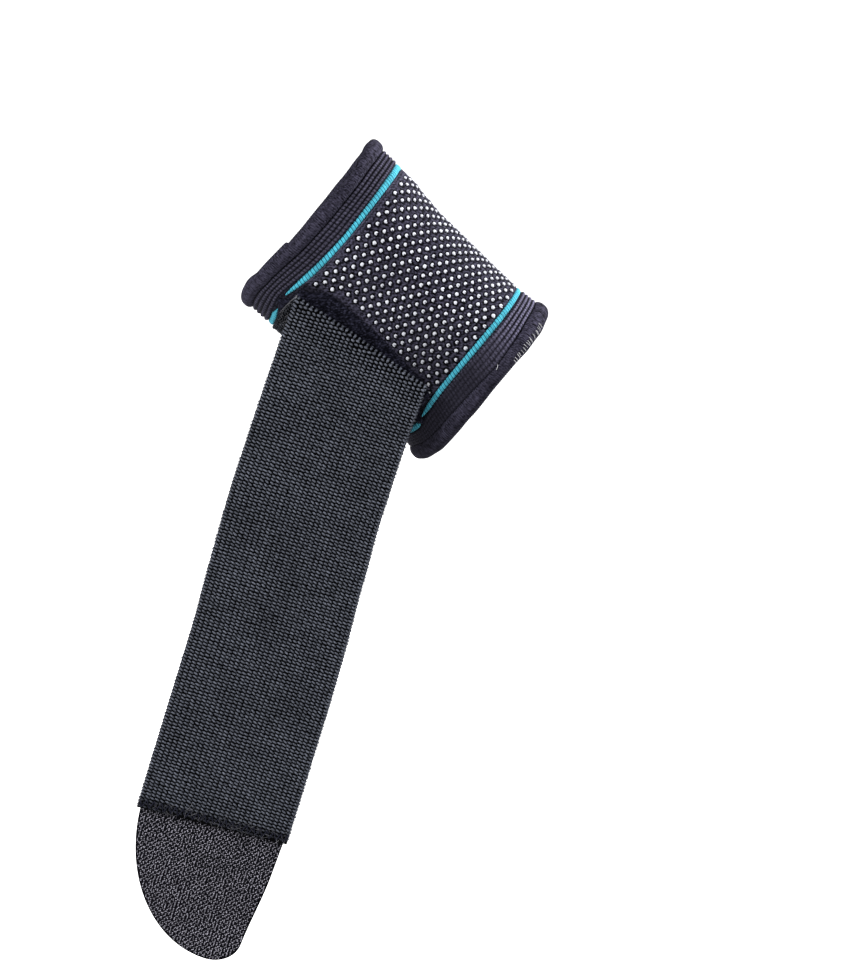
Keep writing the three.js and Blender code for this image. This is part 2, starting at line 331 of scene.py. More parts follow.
def stripe_shown(end, angle):
    """How much of a stripe's width shows at an angle."""
    _, full, tip, out, whole, sharp = STRIPES[end]
    upper = np.clip((angle - tip) / (full - tip), 0, 1)
    lower = np.clip((out - angle) / (out - whole), 0, 1)
    return np.maximum(upper**0.5, lower**sharp)


def level(angle):
    """The angle of the same height on the front of the tube, so that tones meet behind."""
    return np.degrees(np.arcsin(np.sin(np.radians(angle))))


HAND_SHADE_DARK, HAND_SHADE_PLACES, HAND_SHADE_ANGLES = 0.4, (-4, 22), (-14, 26)


def hand_shade_tone(along, angle):
    """Painted shade low down at the hand end, where the knit shows darker."""
    low_down = 1 - smooth(level(angle), *HAND_SHADE_ANGLES)
    return 1 - HAND_SHADE_DARK * smooth(along, *HAND_SHADE_PLACES) * low_down


body_columns = STITCHES_ROUND * STITCH_COLUMNS
body_row = np.arange(-ROWS_BEFORE, ROWS_AFTER + 1)
body_column = np.arange(body_columns)
body_arc = (body_column / body_columns - 0.5) * ROUND + DOTS_ARC_START
row_along = FIRST_DOT + body_row * STITCH_LENGTH / STITCH_ROWS
body_along, body_angle = knit_place(*np.broadcast_arrays(row_along[:, None], body_arc[None, :]))

# Dots stand on every fourth stitch of each row, two stitches over from those of the next row
dot_shift = DOT_STITCHES * STITCH_COLUMNS // 2
dot_rows, dot_columns = np.arange(0, LAST_DOT_ROW + 1, STITCH_ROWS), np.arange(0, body_columns, dot_shift)
dot_row, dot_column = np.meshgrid(dot_rows, dot_columns)
staggered = (dot_row // STITCH_ROWS) % 2 == (dot_column // dot_shift) % 2
dot_row, dot_column = dot_row[staggered] + ROWS_BEFORE, dot_column[staggered]
dot_along, dot_angle = body_along[dot_row, dot_column], body_angle[dot_row, dot_column]
clear_of_strap = dot_angle > read_rows(LOWEST_DOT, dot_along)
clear_of_strap = clear_of_strap | (dot_angle < STRAP_ROOT_ANGLE - ROOT_CLEARANCE)
dot_row, dot_column = dot_row[clear_of_strap], dot_column[clear_of_strap]
dot_along, dot_angle = dot_along[clear_of_strap], dot_angle[clear_of_strap]

pit = np.zeros((len(body_row), body_columns))
column_mm, row_mm = ROUND / body_columns, STITCH_LENGTH / STITCH_ROWS
for i in range(-PIT_ROWS, PIT_ROWS + 1):
    for j in range(-PIT_COLUMNS, PIT_COLUMNS + 1):
        ring = swell(math.hypot(i * row_mm, j * column_mm), PIT_RADIUS, PIT_WIDTH)
        around = np.clip(dot_row + i, 0, len(body_row) - 1), (dot_column + j) % body_columns
        np.add.at(pit, around, ring)
pit = np.clip(pit, 0, 1)
in_stitch = ((body_column % STITCH_COLUMNS) + 0.5) / STITCH_COLUMNS
lean = np.abs(in_stitch - 0.5)
chevron = np.cos(2 * np.pi * (body_row[:, None] / STITCH_ROWS - lean[None, :]))
CHANNEL_FLOOR, CHANNEL_LIP, CHANNEL_LEAST = 0.7, 1.04, 0.02
channel = np.zeros(pit.shape)
for end, (half, *_) in STRIPES.items():
    half = half * stripe_shown(end, body_angle)
    from_middle = np.abs(body_along - end * STRIPE_MIDDLE)
    channel = channel + 1 - smooth(from_middle, half * CHANNEL_FLOOR, half * CHANNEL_LIP + CHANNEL_LEAST)
body_lift = (CHEVRON_HEIGHT * chevron - PIT_DEPTH * pit) * (1 - channel) - CHANNEL_DEPTH * channel
fleck = random.normal(0, FLECK_TONE, body_lift.shape)
# Painted shade darkens the pits round the dots
body_crown = np.clip(BODY_TONE + CHEVRON_TONE * chevron + fleck - PIT_SHADE_TONE * pit, 0, 1) * (1 - channel)
# Painted shade low down at the hand end
body_crown = body_crown * hand_shade_tone(body_along, body_angle)
# Beside the panel the knit is darkened with painted shade, which fades out on the underside
PANEL_SHADE_DARK, PANEL_SHADE_REACH, PANEL_SHADE_ANGLES = 0.65, 4, (-120, -80)
from_dots = body_angle - read_rows(LOWEST_DOT, body_along)
panel_shade = (1 - smooth(from_dots, -PANEL_SHADE_REACH, 0)) * smooth(body_angle, *PANEL_SHADE_ANGLES)
body_crown = body_crown * (1 - PANEL_SHADE_DARK * panel_shade)

LINING_ROWS, LINING_WALE = 9, 0.12
LINING_GROOVE_TONE, LINING_WALE_TONE = 0.08, 0.4
lining_shape = (LINING_ROWS, body_columns)
lining_along = np.broadcast_to(np.linspace(row_along[-1], row_along[0], LINING_ROWS)[:, None], lining_shape)
lining_angle = np.broadcast_to(angle_at(body_arc), lining_shape)
lining_wale = np.broadcast_to(np.abs(np.sin(np.pi * in_stitch)), lining_shape)
knit_black = yarn(
    "knit_black", (0.092, 0.087, 0.136), (0.0003, 0.0003, 0.0006), contrast=1.0, fibre=1500, sheen=0.006
)
sleeve_body = cloth_piece(
    "sleeve_body",
    on_sleeve(
        np.concatenate([body_along, lining_along]),
        np.concatenate([body_angle, lining_angle]),
        np.concatenate([body_lift, LINING_WALE * (1 - lining_wale) - WALL]),
    ),
    [ring_faces(len(body_row) + LINING_ROWS, body_columns)],
    knit_black,
    np.concatenate([body_crown, LINING_GROOVE_TONE + LINING_WALE_TONE * lining_wale]),
    ["sleeve"],
)

# The pale dots
# Single stitches of a white yarn, knitted in among the black ones as the body is made.
# Each is a plump heart-shaped V that stands a little proud of a ring of painted shade where the knit dips
# round it.
DOT_HALF_LENGTH, DOT_HALF_WIDTH = 0.65, 0.62
DOT_LOW, DOT_TOP = -0.30, 0.40
DOT_NOTCH, DOT_NOTCH_SPREAD = 0.88, 0.45
DOT_SIDES, DOT_LEVELS = 12, [(1, 0), (0.97, 0.70), (0.64, 0.97)]


def float_shape(sides, levels):
    """One plump yarn float: each corner's turn, size share and height share, then its blocks of faces.

    The levels are the size and height shares of its rings, from its base up to its cap.
    """
    ring_turn = 2 * np.pi * np.arange(sides) / sides
    turn = np.concatenate([np.tile(ring_turn, len(levels)), [0]])
    size = np.concatenate([np.repeat([s for s, _ in levels], sides), [0]])
    rise = np.concatenate([np.repeat([h for _, h in levels], sides), [1]])
    k = np.arange(sides)
    after = (k + 1) % sides
    wall = np.stack([k, after, after + sides, k + sides], -1)
    walls = np.concatenate([wall + n * sides for n in range(len(levels) - 1)])
    last = (len(levels) - 1) * sides
    cap = np.stack([k + last, after + last, np.full(sides, last + sides)], -1)
    return turn, size, rise, (walls, cap, k[None, ::-1])


def field_faces(blocks, count, corners):
    """The faces of one float, repeated for every float of a field."""
    first = (np.arange(count) * corners)[:, None, None]
    return [(block[None] + first).reshape(-1, block.shape[1]) for block in blocks]


turn, size, rise, dot_faces = float_shape(DOT_SIDES, DOT_LEVELS)
count = len(dot_along)
dot_scale = random.uniform(0.90, 1.08, (count, 1))
notch_turn = random.normal(0, 0.35, (count, 1))
off_notch = (turn[None] - notch_turn + np.pi) % (2 * np.pi) - np.pi
notch = DOT_NOTCH * random.uniform(0.2, 1.15, (count, 1)) * swell(off_notch, 0, DOT_NOTCH_SPREAD)
reach = size[None] * dot_scale * (1 - notch) * random.uniform(0.9, 1.08, notch.shape)
dots_along = dot_along[:, None] + DOT_HALF_LENGTH * reach * np.cos(turn)
dot_turn = np.radians(dot_angle)
arc_per_degree = MEAN_HALF * np.hypot(DEPTH_RATIO * np.sin(dot_turn), np.cos(dot_turn)) * np.pi / 180
dots_angle = dot_angle[:, None] + DOT_HALF_WIDTH * reach * np.sin(turn) / arc_per_degree[:, None]
dots_lift = DOT_LOW + (DOT_TOP - DOT_LOW) * rise[None] * (1 - 0.5 * notch)
# The dots take the same painted shade low down at the hand end
dot_crown = np.clip(1.5 * rise[None] - 1.25 * notch, 0, 1) * hand_shade_tone(dots_along, dots_angle)
dot_white = yarn(
    "dot_white", (0.74, 0.755, 0.82), (0.003, 0.003, 0.006),
    contrast=0.35, fibre=2600, roughness=0.75, sheen=0.03, tint=(1, 1, 1),
)
pale_dots = cloth_piece(
    "pale_dots",
    on_sleeve(dots_along, dots_angle, dots_lift),
    field_faces(dot_faces, count, len(turn)),
    dot_white,
    dot_crown,
)

# The two stripes
# A ring of turquoise yarn at each end of the body, knitted in as one row of stitches.
# Each stitch is two short legs side by side. Near the panel's seam the knit is drawn together,
# and there each stripe narrows to a point under the panel's tongue.
STRIPE_HALF = {-1: 1.2, 1: 0.9}
STRIPE_STITCH_COLUMNS, STRIPE_ROWS = 10, 9
STRIPE_FLOOR, STRIPE_EDGE, STRIPE_CROWN, STRIPE_SUNK = -1.0, -0.3, 0.24, -0.95
STRIPE_SINKS_UNDER = 0.125
LEG_GROOVE, LEG_SLANT = 0.30, 0.20
turquoise = yarn(
    "turquoise_yarn", (0.11, 0.70, 0.90), (0.001, 0.025, 0.05),
    contrast=0.5, fibre=2200, roughness=0.6, sheen=0.24, tint=(0.8, 0.97, 1),
)


def columns_round(stitches, columns_each):
    """The columns of a ring of evenly spaced stitches, and their angles."""
    column = np.arange(stitches * columns_each)[None, :]
    return column, angle_at((column / column.size - 0.5) * ROUND)


for end_name, end in ENDS:
    column, angle = columns_round(STITCHES_ROUND, STRIPE_STITCH_COLUMNS)
    across = np.linspace(-1, 1, STRIPE_ROWS)[:, None]
    phase = (column / STRIPE_STITCH_COLUMNS + LEG_SLANT * across) % 1
    between_stitches = swell(np.minimum(phase, 1 - phase), 0, 0.16)
    between_legs = swell(phase, 0.5, 0.10)
    gap = np.clip(between_stitches + 0.6 * between_legs, 0, 1)
    shown = stripe_shown(end, angle)
    width = STRIPE_HALF[end] * (0.04 + 0.96 * shown)
    width = width * (1 - 0.2 * between_stitches - 0.06 * between_legs)
    outer_along = end * STRIPE_MIDDLE + across * width
    crowned = np.sqrt(np.clip(1 - across**2, 0, 1))
    outer_lift = STRIPE_EDGE + (STRIPE_CROWN - STRIPE_EDGE) * crowned - LEG_GROOVE * gap * crowned
    outer_lift = STRIPE_SUNK + (outer_lift - STRIPE_SUNK) * np.minimum(shown / STRIPE_SINKS_UNDER, 1)
    floor_across = np.array([[1], [-1]])
    floor_along = end * STRIPE_MIDDLE + floor_across * width[:1]
    floor_shape = (2, column.size)
    lift = np.concatenate([outer_lift, np.full(floor_shape, STRIPE_FLOOR)])
    leg_tone = np.repeat(random.uniform(0.75, 1.15, 2 * STITCHES_ROUND), STRIPE_STITCH_COLUMNS // 2)
    # The hand stripe gets painted shade in front and a painted highlight on top, as the band beside it does
    height = level(angle)
    light_and_slack = 1 if end < 0 else 0.8 + 0.2 * smooth(height, -10, 25) + 0.2 * smooth(height, 40, 62)
    crown = np.clip((0.5 + 0.45 * crowned) * leg_tone * light_and_slack * (1 - 0.95 * gap), 0, 1)
    cloth_piece(
            f"stripe_{end_name}_bars",
            on_sleeve(np.concatenate([outer_along, floor_along]), angle, lift),
            [ring_faces(len(lift), column.size)],
            turquoise,
            np.concatenate([crown, np.zeros(floor_shape)]),
            [f"stripe_{end_name}"],
        )

# The rib bands
# Four raised ribs of the same black yarn at each end, knitted on from the body so that the ends grip.
# Each rib is a ring of short stitches that line up across the band, with a small dark hole where they meet.
RIB_COUNT, RIB_PITCH, RIB_HEIGHT, RIB_ROWS = 4, 1.36, 0.55, 8
RIB_STITCH_COLUMNS = 6
BAND_START, BAND_END = 29.3, 35.05
BAND_BACK_ROWS, BAND_BACK_TONE, BAND_SEAM_LIFT = 4, 0.4, -0.15
RIB_STITCH_SLANT = 0.04
# Painted light: how much lighter each band's yarn is away from the hand band's shaded front, and on top
RIB_LIGHT_GAIN = {-1: (0.24, 0.2), 1: (0.72, 0.46)}
knit_rib = yarn("knit_rib", (0.300, 0.281, 0.430), (0.0005, 0.0005, 0.001), contrast=1.0, fibre=1700)
for end_name, end in ENDS:
    column, angle = columns_round(STITCHES_ROUND, RIB_STITCH_COLUMNS)
    rows = np.arange(RIB_COUNT * RIB_ROWS + 1)
    rib = (np.sin(np.pi * (rows % RIB_ROWS) / RIB_ROWS) ** 1.1)[:, None]
    phase = column / RIB_STITCH_COLUMNS + RIB_STITCH_SLANT * rows[:, None]
    legs = np.abs(np.sin(np.pi * phase)) * (1 - 0.2 * np.sin(np.pi * phase) ** 8)
    # The hand band is stretched in front and below, so its ribs are flatter there, and painted shade darkens
    # its yarn there
    light_and_slack = 1 - (1 - smooth(level(angle), 0, 52)) * (end > 0)
    lift = RIB_HEIGHT * rib * (0.45 + 0.55 * legs) * (0.4 + 0.6 * light_and_slack)
    fleck = random.normal(0, 0.16, lift.shape)
    on_top = smooth(level(angle), 25, 60)
    # On top the ribs' lit crowns narrow, as painted highlights
    shown = (1 - light_and_slack) * 0.45 + (0.36 + 0.64 * light_and_slack) * rib ** (1 + 1.4 * on_top)
    lit_gain, top_highlight_gain = RIB_LIGHT_GAIN[end]
    gain = 0.18 + light_and_slack * lit_gain + top_highlight_gain * on_top
    stitch = 0.04 + 0.56 * legs + 0.14 * (1 - light_and_slack) * (1 - legs)
    crown = np.clip(shown * (stitch + fleck) * gain, 0, 1)
    along = np.append(BAND_START + rows * RIB_PITCH / RIB_ROWS, BAND_END)
    back_along = np.linspace(BAND_END, BAND_START, BAND_BACK_ROWS)
    seam_shape, back_shape = (1, column.size), (BAND_BACK_ROWS, column.size)
    back_lift = np.full(back_shape, -float(WALL))
    cloth_piece(
            f"rib_band_{end_name}",
            on_sleeve(
                end * np.concatenate([along, back_along])[:, None],
                angle,
                np.concatenate([lift, np.full(seam_shape, BAND_SEAM_LIFT), back_lift]),
            ),
            [ring_faces(len(along) + BAND_BACK_ROWS, column.size)],
            knit_rib,
            np.concatenate([crown, np.zeros(seam_shape), np.full(back_shape, BAND_BACK_TONE)]),
            ["sleeve"],
        )

# The rolled hems
# The knit is turned over and sewn down at each end into a plump roll, with its stitches running across it.
# On the elbow hem the fold starts and ends in a lap, so its outer edge steps out below the front.
SLEEVE_HALF = 39.7
HEM_OVERLAP = 0.35
HEM_THICKNESS, HEM_RISE = 4.4, 1.4
HEM_STITCHES, HEM_STITCH_COLUMNS, HEM_SIDES = 120, 8, 28
HEM_STITCH_DEPTH = 0.13
HEM_COURSES = 8
# Where the elbow hem's lap steps out, how steeply, by how much, and where it has run out below
LAP_ANGLE, LAP_EASE, LAP_STEP, LAP_LOWEST = -11, 0.7, 0.8, -36
hem_knit = yarn(
    "hem_knit", (0.125, 0.116, 0.184), (0.001, 0.001, 0.002), contrast=1.0, fibre=2000, roughness=0.82
)
for end_name, end in ENDS:
    column, angle = columns_round(HEM_STITCHES, HEM_STITCH_COLUMNS)
    section = 2 * np.pi * np.arange(HEM_SIDES)[:, None] / HEM_SIDES
    half = (SLEEVE_HALF - BAND_END + HEM_OVERLAP) / 2
    phase = column / HEM_STITCH_COLUMNS
    legs = np.sin(2 * np.pi * phase) ** 2 * (0.8 + 0.2 * np.cos(2 * np.pi * phase))
    sunk = HEM_STITCH_DEPTH * (1 - legs)
    uneven = 0.05 * np.sin(np.radians(angle) * 7 + end) + 0.05 * np.sin(np.radians(angle) * 17 + 2 * end)
    outward = np.cos(section)
    plump = np.sign(outward) * np.abs(outward) ** 0.85
    along = SLEEVE_HALF - half + (half - sunk) * plump + uneven * np.maximum(plump, 0)
    lift = HEM_RISE - HEM_THICKNESS / 2 + (HEM_THICKNESS / 2 - sunk) * np.sin(section) + uneven * 0.6
    if end < 0:
        lap = 1 - smooth(angle, LAP_ANGLE - LAP_EASE, LAP_ANGLE + LAP_EASE)
        lap = lap * smooth(angle, LAP_LOWEST, LAP_ANGLE - 2)
        along = along + LAP_STEP * lap * (0.5 + 0.5 * plump)
    courses = 0.5 + 0.5 * np.cos(HEM_COURSES * section)
    # Painted light and shade by height round the tube: the hand hem is darker in front, the elbow hem on top
    height = level(angle)
    light_and_slack = 0.7 + 0.14 * smooth(height, -8, 45) if end > 0 else 1.15 - 0.42 * smooth(height, -20, 55)
    # More flecks on top, as painted glints, and painted shade on the roll's outer side
    fleck = random.normal(0, 0.15, along.shape) * (1 + smooth(height, 15, 50))
    roll_shade = 1 - 0.45 * np.maximum(outward, 0) ** 1.5
    crown = np.clip(0.12 + 0.2 * legs + 0.12 * courses + fleck, 0, 1) * light_and_slack * roll_shade
    cloth_piece(
            f"hem_{end_name}_roll",
            on_sleeve(end * along, angle, lift),
            [ring_faces(HEM_SIDES, column.size)],
            hem_knit,
            crown,
            [f"hem_{end_name}"],
        )

# The plush panel
# A thin patch of black brushed loop cloth, sewn on the body's underside for the hook tab to grip.
# Its upper edge bows along the tube, and a tongue of it laps over each stripe.
PLUSH_HALF_LENGTH, PLUSH_LOWER = 26.2, -57
PLUSH_UPPER = [(-27, -26), (-18, -15.5), (0, -14.5), (20, -16.5), (27, -20)]
# Each tongue's reach along the tube, its middle angle and its spread
ELBOW_TONGUE, HAND_TONGUE = (3.0, -44, 6), (3.6, -39, 2.6)
PLUSH_LOW, PLUSH_EDGE, PLUSH_TOP = 0.25, 0.40, 1.1
PLUSH_COLUMNS, PLUSH_ROWS = 150, 60
PLUSH_EDGE_STEEPNESS, NAP_HEIGHT = 14, 0.16


def patch_faces(rows, columns):
    """Faces of a thin closed patch: a grid in front, the same grid behind, and walls between their edges."""
    r, c = np.meshgrid(np.arange(rows - 1), np.arange(columns - 1), indexing="ij")
    corner, below = r * columns + c, (r + 1) * columns + c
    front = np.stack([corner, corner + 1, below + 1, below], -1).reshape(-1, 4)
    behind = front[:, ::-1] + rows * columns
    top, bottom = np.arange(columns), np.arange(columns) + (rows - 1) * columns
    left, right = np.arange(rows) * columns, np.arange(rows) * columns + columns - 1
    border = np.concatenate([top, right[1:], bottom[-2::-1], left[-2:0:-1]])
    onward = np.roll(border, -1)
    wall = np.stack([onward, border, border + rows * columns, onward + rows * columns], -1)
    return [front, behind, wall]


side = np.linspace(-1, 1, PLUSH_COLUMNS)[None, :]
up = np.linspace(0, 1, PLUSH_ROWS)[:, None]
upper = read_rows(PLUSH_UPPER, side * PLUSH_HALF_LENGTH)
plush_angle = PLUSH_LOWER + (upper - PLUSH_LOWER) * up
elbow_reach, hand_reach = (
    reach * swell(plush_angle, middle, spread) for reach, middle, spread in (ELBOW_TONGUE, HAND_TONGUE)
)
plush_along = side * (PLUSH_HALF_LENGTH + np.where(side < 0, elbow_reach, hand_reach))
edge = np.minimum(np.minimum(1 - np.abs(side), 1 - up) * PLUSH_EDGE_STEEPNESS, 1)
nap = random.uniform(-1, 1, (PLUSH_ROWS, PLUSH_COLUMNS))
plush_lift = PLUSH_EDGE + (PLUSH_TOP - PLUSH_EDGE) * np.sqrt(edge) + NAP_HEIGHT * nap * edge
plush_front = on_sleeve(plush_along, plush_angle, plush_lift)
plush_back = on_sleeve(plush_along, plush_angle, PLUSH_LOW)
plush_crown = (0.5 + 0.5 * nap) ** 4
plush_black = yarn(
    "plush_black", (0.041, 0.041, 0.070), (0.002, 0.002, 0.004),
    contrast=1.6, fibre=1300, roughness=0.95, sheen=0.03,
)
plush_panel = cloth_piece(
    "plush_panel_cloth",
    np.stack([plush_front, plush_back]),
    patch_faces(PLUSH_ROWS, PLUSH_COLUMNS),
    plush_black,
    np.stack([plush_crown, np.zeros_like(plush_crown)]),
    ["plush_panel"],
)

# The strap
# A band of charcoal elastic webbing 49 mm wide, sewn to the tube behind, wrapped under it and folded over.
# Below the fold it hangs plumb. Rubber-cored cords run along it, and a grey weft crosses over them.
# This piece is its black core, between the two faces of the weave.
STRAP_WIDTH, STRAP_THICKNESS = 49, 1.6
CORE_THICKNESS = 1.0
WRAP_HALF_WIDTH, WRAP_MIDDLE = 24.7, -0.8
FOLD_LEFT, FOLD_RIGHT, FOLD_RADIUS = -31.5, -19.5, 2
HANG_PLANE, STRAP_END = -28.3, -180.3
END_SLANT = math.tan(math.radians(1.7))
SETTLE_LENGTH, SWAY, SWAY_LENGTH = 60, 1.2, 110
BARE_LIFT, PANEL_LIFT = 1.1, 2.2
LIFT_FADE_START, LIFT_FADE_END = 3, 18


def strap_route(column, step):
    """The strap's middle and the way it faces: wrapped up to step 1, round the fold to 2, hanging to 3."""
    column, step = together(column, step)
    along = WRAP_MIDDLE + column * WRAP_HALF_WIDTH
    fold = FOLD_LEFT + (FOLD_RIGHT - FOLD_LEFT) * (column + 1) / 2
    angle = STRAP_ROOT_ANGLE + (fold - STRAP_ROOT_ANGLE) * np.clip(step, 0, 1)
    off_panel = smooth(PLUSH_LOWER - angle, LIFT_FADE_START, LIFT_FADE_END)
    wrapped = tube_point(along, angle, PANEL_LIFT + (BARE_LIFT - PANEL_LIFT) * off_panel)
    normal = face_normal(along, fold)
    upward = np.stack([np.zeros_like(along), normal[..., 2], -normal[..., 1]], -1)
    centre = tube_point(along, fold, PANEL_LIFT + FOLD_RADIUS)
    turn = (np.arctan2(-normal[..., 2], -upward[..., 2]) * np.clip(step - 1, 0, 1))[..., None]
    on_tube = step[..., None] < 1
    round_fold = upward * np.sin(turn) - normal * np.cos(turn)
    front = np.where(on_tube, -face_normal(along, angle), round_fold)
    folded = centre + front * FOLD_RADIUS
    below_crest = centre[..., 2] + FOLD_RADIUS - folded[..., 2]
    folded[..., 0] += math.tan(AXIS_DROP) * below_crest * np.sin(turn[..., 0] / 2) ** 2
    middle = to_part(np.where(on_tube, wrapped, folded))
    whole_drop = middle[..., 2] - STRAP_END - END_SLANT * column * STRAP_WIDTH / 2
    drop = np.clip(step - 2, 0, 1) * whole_drop
    middle[..., 2] -= drop
    middle[..., 1] += (HANG_PLANE - middle[..., 1]) * smooth(drop, 0, SETTLE_LENGTH)
    middle[..., 0] -= SWAY * np.sin(np.pi * np.minimum(drop / SWAY_LENGTH, 1))
    return middle, to_part(front)


# The strap measured along its own length, up from the end of the webbing, for laying the weave on it evenly
ROUTE_COLUMNS = 63
ROUTE_LENGTH_STEP = 0.4
HANG_STEPS, FOLD_STEPS, WRAP_STEPS = 240, 60, 160


def three_stages(places, counts):
    """Even steps from the first place to the second, on to the third, and on to the last."""
    stages = [np.linspace(places[k], places[k + 1], counts[k]) for k in range(3)]
    return np.concatenate([stages[0], stages[1][1:], stages[2][1:]])


route_step = three_stages((3, 2, 1, 0), (HANG_STEPS, FOLD_STEPS, WRAP_STEPS))
route_column = np.linspace(-1, 1, ROUTE_COLUMNS)
middles, fronts = strap_route(route_column[:, None], route_step[None, :])
spans = np.linalg.norm(np.diff(middles, axis=1), axis=-1)
run = np.concatenate([np.zeros((ROUTE_COLUMNS, 1)), np.cumsum(spans, axis=1)], axis=1)
strap_length = run[:, -1]
fold_start = run[:, HANG_STEPS - 1]
fold_end = run[:, HANG_STEPS + FOLD_STEPS - 2]
lengths = np.arange(0, strap_length.max(), ROUTE_LENGTH_STEP)
even_middle = np.zeros((ROUTE_COLUMNS, len(lengths), 3))
even_front = np.zeros((ROUTE_COLUMNS, len(lengths), 3))
for i in range(ROUTE_COLUMNS):
    for axis in range(3):
        even_middle[i, :, axis] = np.interp(lengths, run[i], middles[i, :, axis])
        even_front[i, :, axis] = np.interp(lengths, run[i], fronts[i, :, axis])


def between(table, a, b):
    """A table's value between its places, straight from one to the next."""
    i = np.clip(np.floor(a).astype(int), 0, table.shape[0] - 2)
    j = np.clip(np.floor(b).astype(int), 0, table.shape[1] - 2)
    p, q = (a - i)[..., None], (b - j)[..., None]
    low = table[i, j] * (1 - q) + table[i, j + 1] * q
    high = table[i + 1, j] * (1 - q) + table[i + 1, j + 1] * q
    return low * (1 - p) + high * p


# The webbing is a little wider at its end than at the fold, and its end droops at the left
LEFT_OUT = [(-5, 0.7), (60, 0.7), (110, 0.75), (130, 0.4), (160, 0.2), (175, 0), (300, 0)]
RIGHT_OUT = [(-5, 1.2), (45, 0.9), (68, 1.05), (92, 0.4), (115, -0.4), (140, -0.7), (165, -0.5), (300, -0.3)]
END_LOW_LEFT, END_LOW_RIGHT = 2.0, 0.2


def on_strap(across, length, lift):
    """A point on the strap, from its middle line, up from its end and out from its mid-thickness."""
    across, length, lift = together(across, length, lift)
    share = across / STRAP_WIDTH + 0.5
    across = across - read_rows(LEFT_OUT, length) * (1 - share) + read_rows(RIGHT_OUT, length) * share
    a = (across / (STRAP_WIDTH / 2) + 1) / 2 * (ROUTE_COLUMNS - 1)
    b = length / ROUTE_LENGTH_STEP
    return between(even_middle, a, b) + between(even_front, a, b) * lift[..., None]


def strap_places(across):
    """Up one line of the strap: its end, the start and end of the fold, and the root."""
    share = across / STRAP_WIDTH + 0.5
    end = -END_LOW_LEFT * (1 - share) - END_LOW_RIGHT * share
    line = route_column * STRAP_WIDTH / 2
    return end, *(np.interp(across, line, place) for place in (fold_start, fold_end, strap_length))


core_black = yarn(
    "webbing_core", (0.0008, 0.0008, 0.0012), (0.0004, 0.0004, 0.0006),
    contrast=0.8, fibre=1400, roughness=0.95, sheen=0,
)
CORE_COLUMNS, CORE_ROWS, CORE_TONE = 33, (70, 22, 56), 0.4
core_across = np.linspace(-1, 1, CORE_COLUMNS)[None, :] * STRAP_WIDTH / 2
core_row = three_stages((0, 1, 2, 3), CORE_ROWS)[:, None]
core_places = strap_places(core_across)
core_length = core_places[0]
for k in range(3):
    core_length = core_length + (core_places[k + 1] - core_places[k]) * np.clip(core_row - k, 0, 1)
half_core = CORE_THICKNESS / 2
strap_core = cloth_piece(
    "strap_webbing",
    np.stack([on_strap(core_across, core_length, half_core), on_strap(core_across, core_length, -half_core)]),
    patch_faces(len(core_row), CORE_COLUMNS),
    core_black,
    CORE_TONE,
    ["strap"],
)

# The strap's weave
# The grey weft floats that make the webbing's face, woven over its cords: a slanted bump in every square.
# They cover both faces, and at each edge the weft turns back round the last cord in a row of small teeth.
WEAVE_COLUMNS, WEAVE_PITCH = 31, 1.165
FLOAT_LENGTH, FLOAT_WIDTH, FLOAT_TILT = 2.15, 0.79, math.radians(-22)
FLOAT_LOW, FLOAT_TOP = 0.35, 0.84
FOLD_REACH, FOLD_SHRINK = 9, 0.14
FOLD_SHADE_START, FOLD_SHADE_REACH, FOLD_SHADE_DARK = 9, 22, 0.26
END_DARK_START, END_DARK_STOP, END_DARK = 2.2, 4.6, 0.3
FLOAT_SIDES, FLOAT_LEVELS, FLOAT_STRAY = 6, [(1, 0), (0.84, 0.7)], 0.04
webbing_grey = yarn(
    "webbing_grey", (0.146, 0.158, 0.195), (0.0005, 0.0005, 0.001), contrast=3.4, fibre=2800, sheen=0.004
)
column_places = (np.arange(WEAVE_COLUMNS) + 0.5) / WEAVE_COLUMNS * STRAP_WIDTH - STRAP_WIDTH / 2
row_places = np.arange(-1, int(strap_length.max() / WEAVE_PITCH)) * WEAVE_PITCH
cell_across, cell_length = (grid.ravel() for grid in np.meshgrid(column_places, row_places))
cell_end, cell_fold, cell_folded, cell_root = strap_places(cell_across)


